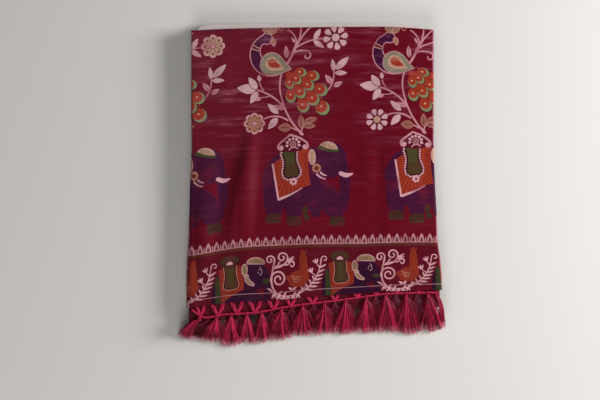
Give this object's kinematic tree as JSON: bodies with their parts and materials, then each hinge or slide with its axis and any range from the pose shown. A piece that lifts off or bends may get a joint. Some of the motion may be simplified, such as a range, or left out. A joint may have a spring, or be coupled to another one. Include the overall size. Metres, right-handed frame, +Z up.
{
  "type": "folded printed sari on a stiff card",
  "caption": "Sari folded flat round a stiff white card, with its printed end on top and a knotted tassel fringe over the bottom fold.",
  "frame": {"origin": "middle of the flat underside that rests on a surface, on the line midway between the two side folds", "axes": "+Z up from the surface, +Y from the tassel fringe to the top fold, +X across to the right side fold"},
  "size_m": [0.3228, 0.3909, 0.0227],
  "materials": {
    "plain_cloth": "fine plain weave with slubs, low sheen",
    "printed_cloth": "fine plain weave with slubs, printed, silky sheen",
    "fringe_thread": "loose silky threads",
    "white_card": "matt"
  },
  "bodies": {
    "root": {"under_stack": "plain_cloth", "over_stack": "plain_cloth", "body_panel": "plain_cloth", "pallu_inner": "printed_cloth", "pallu_front": "printed_cloth", "card": "white_card", "fringe_net": "fringe_thread", "tassel_01": "fringe_thread", "tassel_02": "fringe_thread", "tassel_03": "fringe_thread", "tassel_04": "fringe_thread", "tassel_05": "fringe_thread", "tassel_06": "fringe_thread", "tassel_07": "fringe_thread", "tassel_08": "fringe_thread", "tassel_09": "fringe_thread", "tassel_10": "fringe_thread", "tassel_11": "fringe_thread", "tassel_12": "fringe_thread", "tassel_13": "fringe_thread", "under_tassel_01": "fringe_thread", "under_tassel_02": "fringe_thread", "under_tassel_03": "fringe_thread", "under_tassel_04": "fringe_thread", "under_tassel_05": "fringe_thread", "under_tassel_06": "fringe_thread", "under_tassel_07": "fringe_thread", "under_tassel_08": "fringe_thread", "under_tassel_09": "fringe_thread", "under_tassel_10": "fringe_thread"}
  },
  "joints": []
}
